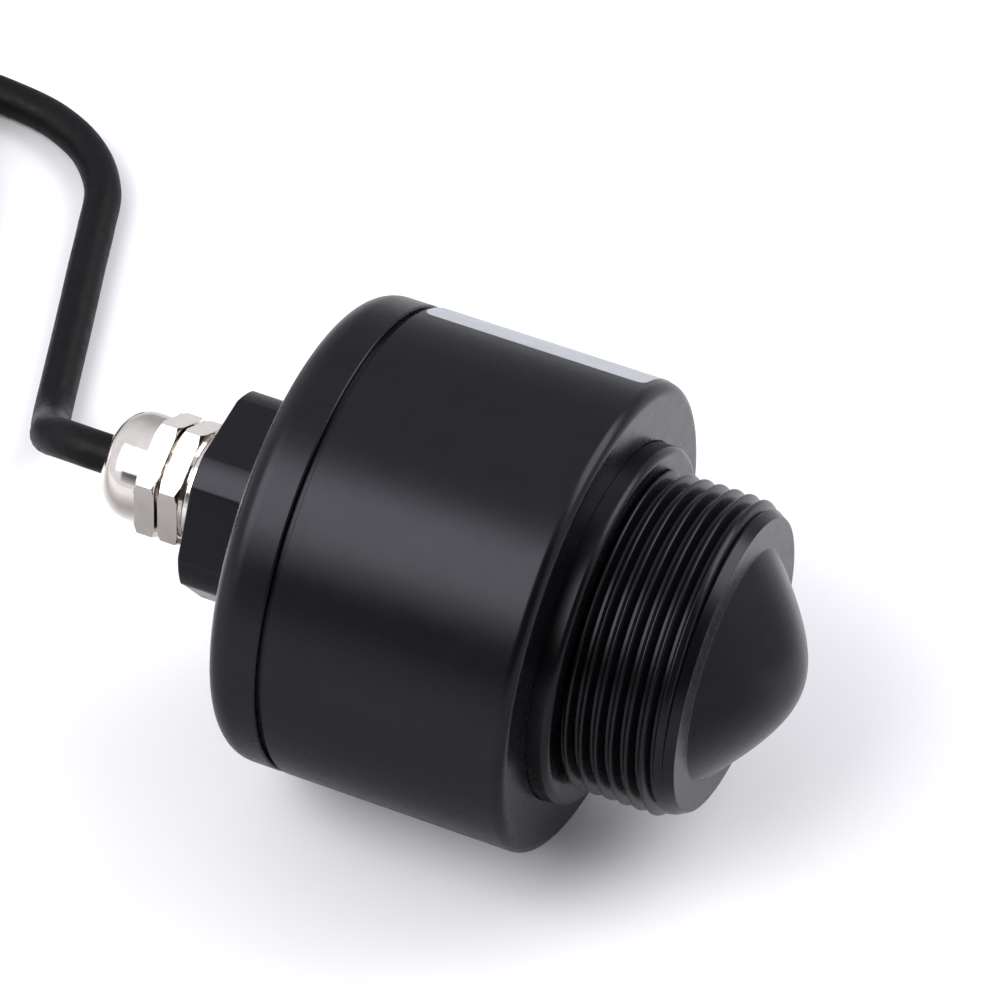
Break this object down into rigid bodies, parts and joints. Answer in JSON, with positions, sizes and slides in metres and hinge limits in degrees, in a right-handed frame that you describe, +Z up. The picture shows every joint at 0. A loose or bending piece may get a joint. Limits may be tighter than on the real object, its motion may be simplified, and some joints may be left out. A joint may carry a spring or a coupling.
{
  "type": "radar level sensor",
  "caption": "Compact round radar level sensor with a threaded nose, a domed lens, a wrench boss, a cable gland and its cable, lying on its side.",
  "frame": {"origin": "on the surface under the middle of the sensor, without its free cable", "axes": "+X along the sensor's axis towards the lens, +Z up, +Y away from the near side"},
  "size_m": [0.2612, 0.1343, 0.071],
  "materials": {
    "satin_black": "satin",
    "label_film": "satin",
    "black_rubber": "matte",
    "nickel_plate": "polished",
    "white_nylon": "matte",
    "bare_aluminium": "machined",
    "gilt_horn": "satin",
    "brass_posts": "machined",
    "green_board": "satin",
    "black_package": "matte",
    "capacitor_sleeve": "gloss",
    "white_ceramic": "gloss",
    "plated_steel": "plated",
    "tinned_copper": "plated",
    "cable_jacket": "matte",
    "red_insulation": "satin",
    "black_insulation": "satin",
    "yellow_insulation": "satin",
    "blue_insulation": "satin"
  },
  "bodies": {
    "root": {"housing": "satin_black", "rear_cap": "satin_black", "antenna_nose": "satin_black", "blank_label": "label_film", "cap_seal_ring": "black_rubber", "nose_seal_ring": "black_rubber", "gland_gasket": "black_rubber", "gland_grommet": "black_rubber", "gland_body": "nickel_plate", "gland_nut": "nickel_plate", "gland_collet": "white_nylon", "cable_socket": "white_nylon", "cable_plug": "white_nylon", "nose_ring_nut": "bare_aluminium", "horn": "gilt_horn", "front_posts": "brass_posts", "rear_posts": "brass_posts", "radar_board": "green_board", "main_board": "green_board", "radar_chip": "black_package", "processor": "black_package", "board_header": "black_package", "power_converter": "black_package", "storage_capacitors": "capacitor_sleeve", "surge_arrester": "white_ceramic", "board_screws": "plated_steel", "ferrules": "tinned_copper", "inner_cable": "cable_jacket", "cable_lead": "cable_jacket", "cable_coil": "cable_jacket", "cable_tail": "cable_jacket", "red_core": "red_insulation", "free_red_core": "red_insulation", "black_core": "black_insulation", "free_black_core": "black_insulation", "yellow_core": "yellow_insulation", "free_yellow_core": "yellow_insulation", "blue_core": "blue_insulation", "free_blue_core": "blue_insulation"}
  },
  "joints": []
}
